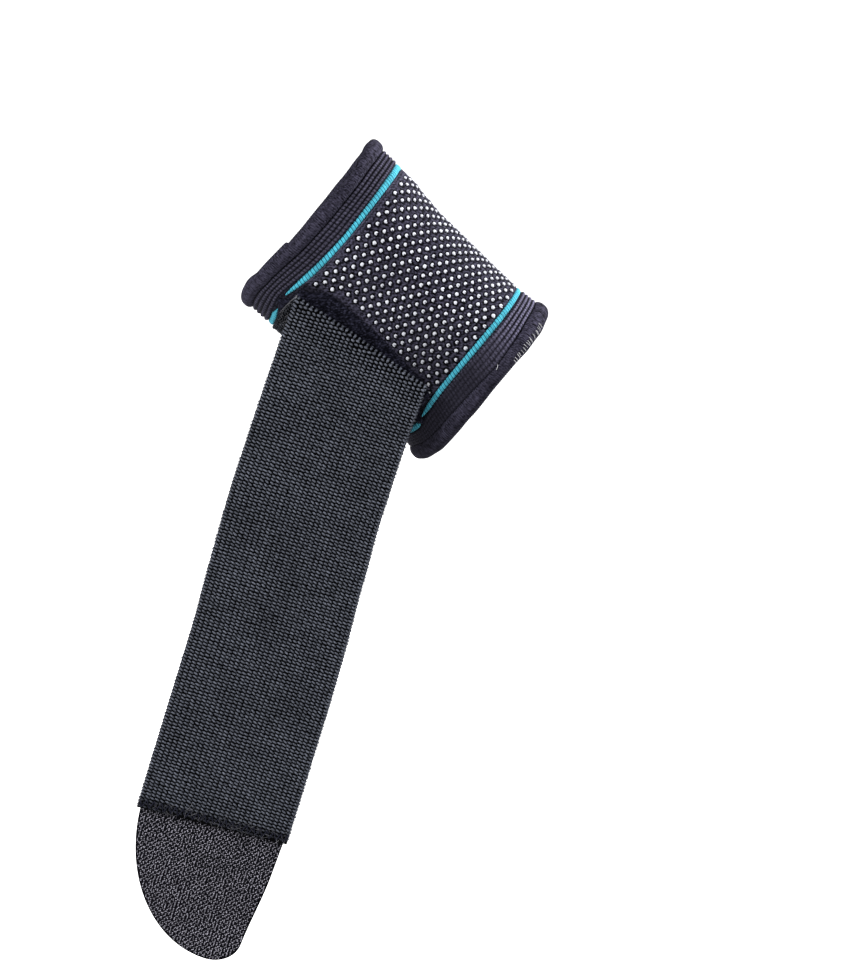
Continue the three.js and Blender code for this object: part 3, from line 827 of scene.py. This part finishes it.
def weave_field(name, chosen, face):
    """One field of weft floats on a face of the strap, each a little different from the next."""
    turn, size, rise, faces = float_shape(FLOAT_SIDES, FLOAT_LEVELS)
    count = int(chosen.sum())
    from_end = (cell_length - cell_end)[chosen][:, None]
    from_fold = np.abs(cell_length - cell_fold)[chosen][:, None]
    long = FLOAT_LENGTH / 2 * random.uniform(0.90, 1.08, (count, 1))
    long = long * (1 - FOLD_SHRINK * (1 - smooth(from_fold, 0, FOLD_REACH)))
    wide = FLOAT_WIDTH / 2 * random.uniform(0.92, 1.08, (count, 1))
    tilt = FLOAT_TILT * face + random.normal(0, 0.08, (count, 1))
    height = random.uniform(0.80, 1.08, (count, 1))
    u, v = long * size * np.cos(turn), wide * size * np.sin(turn)
    across = cell_across[chosen][:, None] + random.normal(0, FLOAT_STRAY, (count, 1))
    across = across + u * np.cos(tilt) - v * np.sin(tilt)
    length = cell_length[chosen][:, None] + random.normal(0, FLOAT_STRAY, (count, 1))
    length = length + u * np.sin(tilt) + v * np.cos(tilt)
    lift = face * (FLOAT_LOW + (FLOAT_TOP - FLOAT_LOW) * rise * height)
    dark_end = END_DARK + (1 - END_DARK) * smooth(from_end, END_DARK_START, END_DARK_STOP)
    # Painted shade darkens the weave on the wrapped side just past the fold, and fades out further on
    past_fold = (cell_length - cell_folded)[chosen][:, None]
    clear_of_fold_shade = np.where(past_fold > -1, smooth(past_fold, FOLD_SHADE_START, FOLD_SHADE_REACH), 1)
    fold_shade = FOLD_SHADE_DARK + (1 - FOLD_SHADE_DARK) * clear_of_fold_shade
    tone = random.uniform(0.80, 1.10, (count, 1)) * dark_end * fold_shade
    # Painted shade darkens each float towards its base, and a painted highlight lights one end of it
    shade = np.clip(rise**2 * (1 - 0.35 * size * np.cos(turn) * face) * tone, 0, 1)
    return cloth_piece(
        name,
        on_strap(across, length, lift),
        field_faces(faces, count, len(turn)),
        webbing_grey,
        shade,
        ["strap"],
    )


# Over the fold the webbing's cords show instead, and the tab covers the lowest part of its back
END_MARGIN, CORDS_START, UNDER_FOLD, BACK_START, BACK_MARGIN = 0.5, 2.3, 3, 12, 1
over_fold = (cell_length > cell_fold + CORDS_START) & (cell_length < cell_folded)
front_cells = (cell_length > cell_end + END_MARGIN) & (cell_length < cell_folded + UNDER_FOLD) & ~over_fold
back_cells = (cell_length > BACK_START) & (cell_length < cell_fold - BACK_MARGIN)
wrap_cells = (cell_length > cell_folded + BACK_MARGIN) & (cell_length < cell_root - BACK_MARGIN)
weave_front = weave_field("strap_weave_front", front_cells, 1)
weave_back = weave_field("strap_weave_back", back_cells, -1)
weave_wrapped = weave_field("strap_weave_wrapped", wrap_cells, -1)

TOOTH_LENGTH, TOOTH_WIDTH, TOOTH_HALF_HEIGHT, TOOTH_OUT, TOOTH_RISE = 0.92, 1.05, 0.74, 0.3, 0.3
TOOTH_SIDES, TOOTH_LEVELS = 8, [(0.6, 0), (1, 0.5), (0.6, 0.95)]
TOOTH_SHADE_TONE = 0.4
turn, size, rise, tooth_faces = float_shape(TOOTH_SIDES, TOOTH_LEVELS)
tooth_side, tooth_length = (grid.ravel()[:, None] for grid in np.meshgrid([-1, 1], row_places))
tooth_end, _, tooth_folded, tooth_root = strap_places(tooth_side * STRAP_WIDTH / 2)
on_band = ((tooth_length > tooth_end + 0.3) & (tooth_length < tooth_root - 0.6)).ravel()
tooth_side, tooth_length, tooth_folded = (a[on_band] for a in (tooth_side, tooth_length, tooth_folded))
tooth_reach = TOOTH_OUT + random.uniform(-0.12, 0.12, tooth_side.shape)
tooth_across = tooth_side * (STRAP_WIDTH / 2 - TOOTH_WIDTH / 2 + tooth_reach)
tooth_across = tooth_across + TOOTH_WIDTH / 2 * size * np.cos(turn)
tooth_at = tooth_length + TOOTH_RISE + TOOTH_LENGTH / 2 * size * np.sin(turn)
# Painted shade on the teeth from the end of the fold round the wrap
tooth_shade = np.where(tooth_length > tooth_folded - 3, TOOTH_SHADE_TONE, 1)
selvedge = cloth_piece(
    "strap_selvedge",
    on_strap(tooth_across, tooth_at, TOOTH_HALF_HEIGHT * (2 * rise - 1)),
    field_faces(tooth_faces, len(tooth_side), len(turn)),
    webbing_grey,
    tooth_shade * (0.12 + 0.5 * rise),
    ["strap"],
)

# The cords over the fold
# Where the webbing bends sharply its lengthwise cords open up and stand out side by side like a comb's teeth.
# Each is one rubber-cored cord with the weft wound round it.
CORD_HALF_WIDTH, CORD_LOW, CORD_TOP, CORD_SIDES, CORD_RINGS = 0.44, 0.30, 1.15, 8, 20


def rope_faces(count, rings, sides):
    """Faces of round ropes: walls from ring to ring, and a cap at each end."""
    n, r, k = np.meshgrid(np.arange(count), np.arange(rings - 1), np.arange(sides), indexing="ij")
    ring = (n * rings + r) * sides
    after = (k + 1) % sides
    walls = np.stack([ring + k, ring + after, ring + sides + after, ring + sides + k], -1).reshape(-1, 4)
    ends = np.arange(count)[:, None] * rings * sides
    return [walls, ends + np.arange(sides)[None, ::-1], ends + (rings - 1) * sides + np.arange(sides)[None]]


_, cord_fold, cord_folded, _ = strap_places(column_places)
cord_share = np.linspace(0, 1, CORD_RINGS)[None, :, None]
cord_start = (cord_fold + random.uniform(1.7, 2.4, WEAVE_COLUMNS))[:, None, None]
cord_stop = (cord_folded + 0.6)[:, None, None]
cord_length = cord_start + (cord_stop - cord_start) * cord_share
section = 2 * np.pi * np.arange(CORD_SIDES)[None, None, :] / CORD_SIDES
cord_full = np.sqrt(1 - 0.98 * (2 * cord_share - 1) ** 6)
wound = 0.5 + 0.5 * np.cos(2 * np.pi * cord_length / WEAVE_PITCH)
cord_half = (CORD_TOP - CORD_LOW) / 2 * cord_full * (0.86 + 0.14 * wound)
cord_lift = CORD_LOW + cord_half * (1 + np.sin(section))
cord_wide = CORD_HALF_WIDTH * cord_full * (0.9 + 0.1 * wound)
cord_across = column_places[:, None, None] + cord_wide * np.cos(section)
cord_tone = random.uniform(0.8, 1.4, (WEAVE_COLUMNS, 1, 1))
cord_upper = 0.5 + 0.5 * np.sin(section)
cord_shade = np.clip((0.1 + 0.9 * cord_upper) * (0.3 + 0.7 * wound) * cord_tone, 0, 1)
fold_cords = cloth_piece(
    "strap_fold_cords",
    on_strap(cord_across, cord_length, cord_lift),
    rope_faces(WEAVE_COLUMNS, CORD_RINGS, CORD_SIDES),
    webbing_grey,
    cord_shade,
    ["strap"],
)

# The strap's stitching and loose ends
# A zigzag of navy thread binds the webbing's end to the tab, and another holds its root to the tube.
# Cut yarns stray from the end and a few fibres stand off the edges.
THREAD_RADIUS, ZIGZAG_STEP, ZIGZAG_HALF, ZIGZAG_RINGS = 0.17, 1.15, 1.45, 4
SEWN_HALF_WIDTH, END_SEAM, ROOT_SEAM = 24.2, 2.0, 2.2
HAIR_RADIUS, HAIR_RINGS, END_HAIRS, EDGE_HAIRS, CORNER_HAIRS = 0.05, 4, 90, 60, 48
HAIR_LEFT, HAIR_RIGHT = -24.6, 24.8
EDGE_THREAD_RADIUS, EDGE_THREAD_RINGS, EDGE_THREAD_ACROSS = 0.13, 24, -24.8


def ropes(paths, radius, sides):
    """Points of round ropes along paths, a ring of corners at each point of a path."""
    ahead = np.gradient(paths, axis=1)
    ahead = ahead / np.linalg.norm(ahead, axis=-1, keepdims=True)
    beside = np.cross(ahead, (0.2, 0.9, 0.35))
    beside = beside / np.linalg.norm(beside, axis=-1, keepdims=True)
    over = np.cross(beside, ahead)
    turn = (2 * np.pi * np.arange(sides) / sides)[None, None, :, None]
    return paths[:, :, None] + radius * (np.cos(turn) * beside[:, :, None] + np.sin(turn) * over[:, :, None])


def thread_piece(name, paths, radius, sides, material, crown, nodes=()):
    """Threads along paths as one piece, with a tone for them all, for each, or for each point of a path."""
    count, rings = paths.shape[:2]
    tones = np.repeat(np.broadcast_to(crown, (count, rings)), sides)
    faces = rope_faces(count, rings, sides)
    return cloth_piece(name, ropes(paths, radius, sides), faces, material, tones, nodes)


def zigzag(middle_length, lift):
    """One thread across the strap, back and forth about a line, sinking at each turn."""
    beat = np.arange(0, int(2 * SEWN_HALF_WIDTH / ZIGZAG_STEP) + 1 / ZIGZAG_RINGS, 1 / ZIGZAG_RINGS)
    across = beat * ZIGZAG_STEP - SEWN_HALF_WIDTH
    swing = 2 * np.abs((beat % 2) - 1) - 1
    arch = np.abs(np.sin(np.pi * beat))
    return on_strap(across, middle_length(across) + ZIGZAG_HALF * swing, lift * (0.82 + 0.18 * arch))[None]


navy_thread = yarn(
    "navy_thread", (0.020, 0.021, 0.036), (0.004, 0.004, 0.008), fibre=2400, roughness=0.7, sheen=0.05
)
end_zigzag = zigzag(lambda across: strap_places(across)[0] + END_SEAM, 1)
root_zigzag = zigzag(lambda across: strap_places(across)[3] - ROOT_SEAM, -1)
zigzags = np.concatenate([end_zigzag, root_zigzag])
stitching = thread_piece("strap_stitching", zigzags, THREAD_RADIUS, 6, navy_thread, 0.8)

# Cut yarns at the webbing's end, fibres along its edges, and a tangle behind the fold's left corner
hair_share = np.linspace(0, 1, HAIR_RINGS)
hair_across = random.uniform(-24, 24.3, (END_HAIRS, 1))
hair_start = strap_places(hair_across)[0] + random.uniform(-0.2, 4.2, (END_HAIRS, 1))
hair_way = random.uniform(0, 2 * np.pi, (END_HAIRS, 1))
hair_reach = random.uniform(0.9, 2.6, (END_HAIRS, 1)) * hair_share
hair_bend = random.normal(0, 0.35, (END_HAIRS, 1)) * hair_share**2
end_hairs = on_strap(
    np.clip(hair_across + hair_reach * np.cos(hair_way) + hair_bend, HAIR_LEFT, HAIR_RIGHT),
    hair_start + hair_reach * np.sin(hair_way),
    0.85 + 0.5 * np.sin(np.pi * np.linspace(0.1, 0.9, HAIR_RINGS)),
)
edge_side = np.where(np.arange(EDGE_HAIRS) % 2, 1, -1)[:, None]
edge_length = random.uniform(2, 160, (EDGE_HAIRS, 1))
edge_length = edge_length + random.normal(0, 0.5, (EDGE_HAIRS, 1)) * hair_share
edge_across = edge_side * (SEWN_HALF_WIDTH + random.uniform(0.6, 1.1, (EDGE_HAIRS, 1)) * hair_share)
edge_hairs = on_strap(edge_across, edge_length, random.uniform(-0.4, 0.6, (EDGE_HAIRS, 1)))
corner_folded = strap_places(np.array(HAIR_LEFT))[2].item()
corner_length = corner_folded + random.uniform(-2, 12, (CORNER_HAIRS, 1))
corner_length = corner_length + random.normal(0, 0.5, (CORNER_HAIRS, HAIR_RINGS)).cumsum(1)
corner_across = random.uniform(-24.4, -21, (CORNER_HAIRS, 1))
corner_across = corner_across + random.normal(0, 0.25, (CORNER_HAIRS, HAIR_RINGS)).cumsum(1)
corner_hairs = on_strap(corner_across, corner_length, -random.uniform(0.7, 1.2, (CORNER_HAIRS, 1)))
hairs = np.concatenate([end_hairs, edge_hairs, corner_hairs])
grey_fibre = yarn(
    "grey_fibre", (0.22, 0.22, 0.24), (0.05, 0.05, 0.06), contrast=0.6, fibre=2400, roughness=0.7, sheen=0.05
)
fibre_tone = random.uniform(0.1, 1, (len(hairs), 1))
loose_fibres = thread_piece("strap_loose_fibres", hairs, HAIR_RADIUS, 4, grey_fibre, fibre_tone)

# One thread stands off the left selvedge at the fold
edge_share = np.linspace(0, 1, EDGE_THREAD_RINGS)[None]
edge_lift = -0.5 + 2.4 * (1 - smooth(edge_share, 0.02, 0.3))
edge_thread = on_strap(EDGE_THREAD_ACROSS, corner_folded - 4 + 12 * edge_share, edge_lift)
edge_tone = np.linspace(0.8, 0.2, EDGE_THREAD_RINGS)
selvedge_thread = thread_piece(
    "strap_selvedge_thread", edge_thread, EDGE_THREAD_RADIUS, 5, grey_fibre, edge_tone
)

# The hook tab
# A tongue of hook tape sewn behind the strap's end: a grey heather knit in front, moulded hooks behind.
# One side is straight and the other sweeps round to a blunt tip.
TAB_WIDTH, TAB_LENGTH, TAB_LAP = 47.6, 46.8, 12
TAB_TIP, TAB_CORNER, TAB_TAPER, TAB_MIDDLE = 11.2, 9, 2.2, -6.3
TAB_LEFT_OUT, TAB_BULGE, TAB_BULGE_START, TAB_BULGE_STOP = 0.3, 1.6, 12, 40
TAB_GAP, TAB_GROUND, TAB_BACKING = 0.3, 0.30, 1.05
TAB_FRONT = HANG_PLANE + STRAP_THICKNESS / 2 + TAB_GAP
TAB_PRESSED, PRESS_FADE_START, PRESS_FADE_END = 0.86, -3, 1
tab_half = TAB_WIDTH / 2


def tab_sides(down):
    """The tab's left and right edges, from its middle, at distances below the end of the webbing."""
    below = np.clip(down, 0, TAB_LENGTH) / TAB_LENGTH
    left = TAB_TIP - (tab_half + TAB_LEFT_OUT + TAB_TIP) * np.sqrt(1 - below**2)
    straight = tab_half - TAB_TAPER * (down + TAB_LAP) / (TAB_LENGTH - TAB_CORNER + TAB_LAP)
    straight = straight + TAB_BULGE * (1 - smooth(down, TAB_BULGE_START, TAB_BULGE_STOP))
    in_corner = np.clip((down - TAB_LENGTH + TAB_CORNER) / TAB_CORNER, 0, 1)
    corner = TAB_TIP + (tab_half - TAB_TAPER - TAB_TIP) * np.sqrt(1 - in_corner**2)
    return left, np.where(in_corner > 0, np.minimum(corner, straight), straight)


def lap_press(down):
    """How far the lap is pressed against the webbing by its stitching."""
    return TAB_PRESSED * (1 - smooth(down, PRESS_FADE_START, PRESS_FADE_END))


def tab_back_at(down):
    """How far back the tab's back lies. It is pressed half as far as the front."""
    return TAB_FRONT + TAB_BACKING - 0.5 * lap_press(down)


TAB_ROWS, TAB_COLUMNS, TAB_CROWDING, TIP_LEFT_OPEN = 48, 24, 1.6, 0.02
tab_share = np.linspace(0, 1, TAB_ROWS)[:, None]
tab_down = -TAB_LAP + (TAB_LENGTH + TAB_LAP - TIP_LEFT_OPEN) * (1 - (1 - tab_share) ** TAB_CROWDING)
left, right = tab_sides(tab_down)
tab_x = TAB_MIDDLE + left + (right - left) * np.linspace(0, 1, TAB_COLUMNS)[None, :]
tab_z = STRAP_END - tab_down + 0 * tab_x
tab_front = np.stack([tab_x, TAB_FRONT + TAB_GROUND - lap_press(tab_down) + 0 * tab_x, tab_z], -1)
tab_back = np.stack([tab_x, tab_back_at(tab_down) + 0 * tab_x, tab_z], -1)
heather_ground = yarn(
    "heather_ground", (0.006, 0.006, 0.009), (0.001, 0.001, 0.002),
    contrast=2.6, fibre=2400, roughness=0.9, sheen=0,
)
hook_tab = cloth_piece(
    "hook_tab_cloth",
    np.stack([tab_front, tab_back]),
    patch_faces(TAB_ROWS, TAB_COLUMNS),
    heather_ground,
    0.5,
    ["hook_tab"],
)

# The tab's knitted face: columns of short slanted legs, some of which bridge the gap to the next column
WALE_PITCH, COURSE_PITCH, FIRST_COURSE, BRIDGES = 1.02, 0.56, -1.5, 0.85
LEG_LENGTH, LEG_WIDTH, LEG_TILT = 0.68, 0.45, math.radians(50)
LEG_SIDES, LEG_LEVELS, LEG_SUNK, LEG_HEIGHT = 5, [(1, 0), (0.8, 0.7)], 0.05, 0.35
LEG_INSET, LAST_COURSE_INSET = 0.4, 0.6
heather_grey = yarn(
    "heather_grey", (0.60, 0.58, 0.68), (0.001, 0.001, 0.002),
    contrast=2.4, fibre=2800, roughness=0.85, sheen=0.01,
)


def tab_grid(across_pitch, first_down, down_pitch):
    """Evenly spaced places over the tab, from its middle and below the end of the webbing."""
    across = np.arange(-tab_half, tab_half + 2, across_pitch)
    down = np.arange(first_down, TAB_LENGTH, down_pitch)
    return (grid.ravel()[:, None] for grid in np.meshgrid(across, down))


wale, course = tab_grid(WALE_PITCH, FIRST_COURSE, COURSE_PITCH)
wale_number = np.round((wale + tab_half) / WALE_PITCH)
course_number = np.round((course - FIRST_COURSE) / COURSE_PITCH)
course = course + (wale_number % 2) * COURSE_PITCH / 2
left, right = tab_sides(course + 0.3)
bridge = ((course_number + 2 * wale_number) % 3 == 0) & (random.uniform(0, 1, wale.shape) < BRIDGES)
wale = wale + random.normal(0, 0.07, wale.shape) + np.where(bridge, WALE_PITCH / 2, 0)
kept = (wale > left + LEG_INSET) & (wale < right - LEG_INSET)
kept = (kept & (course < TAB_LENGTH - LAST_COURSE_INSET)).ravel()
wale, course, bridge = wale[kept], course[kept], bridge[kept]
course = course + random.normal(0, 0.06, wale.shape)
turn, size, rise, leg_faces = float_shape(LEG_SIDES, LEG_LEVELS)
tilt = LEG_TILT + random.normal(0, 0.35, wale.shape)
u = LEG_LENGTH / 2 * random.uniform(0.8, 1.1, wale.shape) * size * np.cos(turn)
v = LEG_WIDTH / 2 * random.uniform(0.8, 1.1, wale.shape) * size * np.sin(turn)
leg_x = TAB_MIDDLE + wale + u * np.cos(tilt) - v * np.sin(tilt)
leg_z = STRAP_END - course + u * np.sin(tilt) + v * np.cos(tilt)
leg_y = TAB_FRONT + TAB_GROUND + LEG_SUNK - LEG_HEIGHT * rise * random.uniform(0.6, 1, wale.shape)
leg_tone = np.where(bridge, 0.75, 0.8) * random.uniform(0.45, 1.5, wale.shape)
tab_stitches = cloth_piece(
    "hook_tab_stitches",
    np.stack([leg_x, leg_y, leg_z], -1),
    field_faces(leg_faces, len(wale), len(turn)),
    heather_grey,
    np.clip((0.1 + 0.9 * rise**2) * leg_tone, 0, 1),
    ["hook_tab"],
)

# The tab's back: rows of small nylon hooks bent over at their tops
HOOK_PITCH, FIRST_HOOK, HOOK_INSET, HOOK_RADIUS = 1.5, -10, 1.3, 0.11
# A hook's height and how far it bends over, and the shares of both from its root to its tip
HOOK_HEIGHT, HOOK_BEND = 0.5, 0.4
HOOK_RISE, HOOK_CURL = np.array([-0.2, 0.55, 0.9, 0.8, 0.5]), np.array([0, 0, 0.35, 0.85, 1])
hook_x, hook_down = tab_grid(HOOK_PITCH, FIRST_HOOK, HOOK_PITCH)
hook_x = hook_x + (np.round(hook_down / HOOK_PITCH) % 2) * HOOK_PITCH / 2
left, right = tab_sides(hook_down + 1)
kept = ((hook_x > left + HOOK_INSET) & (hook_x < right - HOOK_INSET)).ravel()
hook_x, hook_down = hook_x[kept], hook_down[kept]
hook_out = tab_back_at(hook_down) + HOOK_HEIGHT * HOOK_RISE
hook_z = STRAP_END - hook_down + HOOK_BEND * HOOK_CURL
hook_paths = np.stack([TAB_MIDDLE + hook_x + 0 * hook_out, hook_out, hook_z], -1)
hook_nylon = yarn(
    "hook_nylon", (0.035, 0.036, 0.040), (0.015, 0.015, 0.018),
    contrast=0.3, fibre=900, roughness=0.35, sheen=0,
)
tab_hooks = thread_piece(
    "hook_tab_hooks", hook_paths, HOOK_RADIUS, 4, hook_nylon, 0.7, ["hook_tab"]
)

# Thread ends and glints on the hems
# A pale end of the thread that closed the hand hem, caught in the knit where the sewing stopped,
# crosses the hem's seam in front. A row of pale strokes at its rim on top are painted glints of its stitches.
TICK_RADIUS, TICK_RINGS, RIM_GLINTS = 0.09, 4, 18
hem_middle, hem_half = (SLEEVE_HALF + BAND_END) / 2, (SLEEVE_HALF - BAND_END) / 2
tick = on_sleeve(
    BAND_END + np.linspace(0.5, -0.3, TICK_RINGS)[None],
    np.linspace(18.6, 21.4, TICK_RINGS)[None],
    np.array([[1.1, 1.3, 1.3, 1.1]]),
)
rim_angle = np.linspace(30, 62, RIM_GLINTS)[:, None] + random.normal(0, 0.5, (RIM_GLINTS, 1))
rim_section = np.radians(np.linspace(88, 48, TICK_RINGS))[None] - random.uniform(0, 0.3, (RIM_GLINTS, 1))
rim_glints = on_sleeve(
    hem_middle + hem_half * np.cos(rim_section) ** 0.85,
    rim_angle + random.normal(0, 0.6, (RIM_GLINTS, 1)) * np.linspace(0, 1, TICK_RINGS),
    HEM_RISE + HEM_THICKNESS / 2 * (np.sin(rim_section) - 1) + 0.06,
)
ticks = np.concatenate([tick, rim_glints])
pale_thread_and_glint = yarn(
    "pale_thread_and_glint", (0.75, 0.75, 0.77), (0.10, 0.10, 0.12), contrast=0.5, fibre=2400, roughness=0.6, sheen=0.05
)
tick_tone = np.concatenate([[1], random.uniform(0.4, 1, RIM_GLINTS)])[:, None]
thread_ends = thread_piece("hem_thread_ends_and_glints", ticks, TICK_RADIUS, 5, pale_thread_and_glint, tick_tone)

# The studio
# A pale floor far below the part, a white surround, and large soft lights from the left, from the front
# and from behind on the right.
# The camera looks slightly down from the front and is rolled, as the photograph is.
FLOOR_LEVEL, FLOOR_HALF = -0.45, 40
floor_mesh = bpy.data.meshes.new("floor")
floor_mesh.from_pydata(
    [(x * FLOOR_HALF, y * FLOOR_HALF, FLOOR_LEVEL) for x, y in ((-1, -1), (1, -1), (1, 1), (-1, 1))],
    [],
    [(0, 1, 2, 3)],
)
floor_white = bpy.data.materials.new("floor_white")
floor_white.use_nodes = True
floor_shader = floor_white.node_tree.nodes["Principled BSDF"]
floor_shader.inputs["Base Color"].default_value = (0.9, 0.9, 0.9, 1)
floor_shader.inputs["Roughness"].default_value = 1
floor_shader.inputs["Emission Color"].default_value = (1, 1, 1, 1)
floor_shader.inputs["Emission Strength"].default_value = 0.8
floor_mesh.materials.append(floor_white)
floor = bpy.data.objects.new("floor", floor_mesh)
bpy.context.collection.objects.link(floor)
floor.visible_diffuse = False

world = bpy.data.worlds.new("white_surround")
world.use_nodes = True
world.node_tree.nodes["Background"].inputs["Color"].default_value = (1, 1, 1, 1)
world.node_tree.nodes["Background"].inputs["Strength"].default_value = 0.62
bpy.context.scene.world = world


def soft_box(name, place, target, size, power):
    """A square area light at a place in metres, turned to its target."""
    light = bpy.data.lights.new(name, "AREA")
    light.size = size
    light.energy = power
    lamp = bpy.data.objects.new(name, light)
    bpy.context.collection.objects.link(lamp)
    away = Vector(place) - Vector(target)
    lamp.matrix_world = Matrix.Translation(place) @ away.to_track_quat("Z", "Y").to_matrix().to_4x4()


soft_box("left_box", (-0.9, -0.6, 0.35), (0, 0, -0.05), size=0.6, power=9)
soft_box("back_right_box", (0.8, 0.45, 0.6), (0.03, 0, 0), size=0.5, power=23)
soft_box("front_box", (-0.1, -1.7, 0.9), (0, 0, -0.1), size=1.2, power=7)

CAMERA_PLACE = (0.02926, -1.16286, 0.19416)
CAMERA_DROP, CAMERA_ROLL = math.radians(12), math.radians(17.7)
FOCAL_PIXELS, PICTURE_HEIGHT = 3580, 960
camera_data = bpy.data.cameras.new("camera")
camera_data.sensor_width = 36
camera_data.lens = camera_data.sensor_width * FOCAL_PIXELS / PICTURE_HEIGHT
camera_data.clip_end = 200
camera = bpy.data.objects.new("camera", camera_data)
bpy.context.collection.objects.link(camera)
tilt_down = Matrix.Rotation(math.pi / 2 - CAMERA_DROP, 4, "X")
camera.matrix_world = Matrix.Translation(CAMERA_PLACE) @ tilt_down @ Matrix.Rotation(CAMERA_ROLL, 4, "Z")
bpy.context.scene.camera = camera
bpy.context.scene.view_settings.view_transform = "Standard"
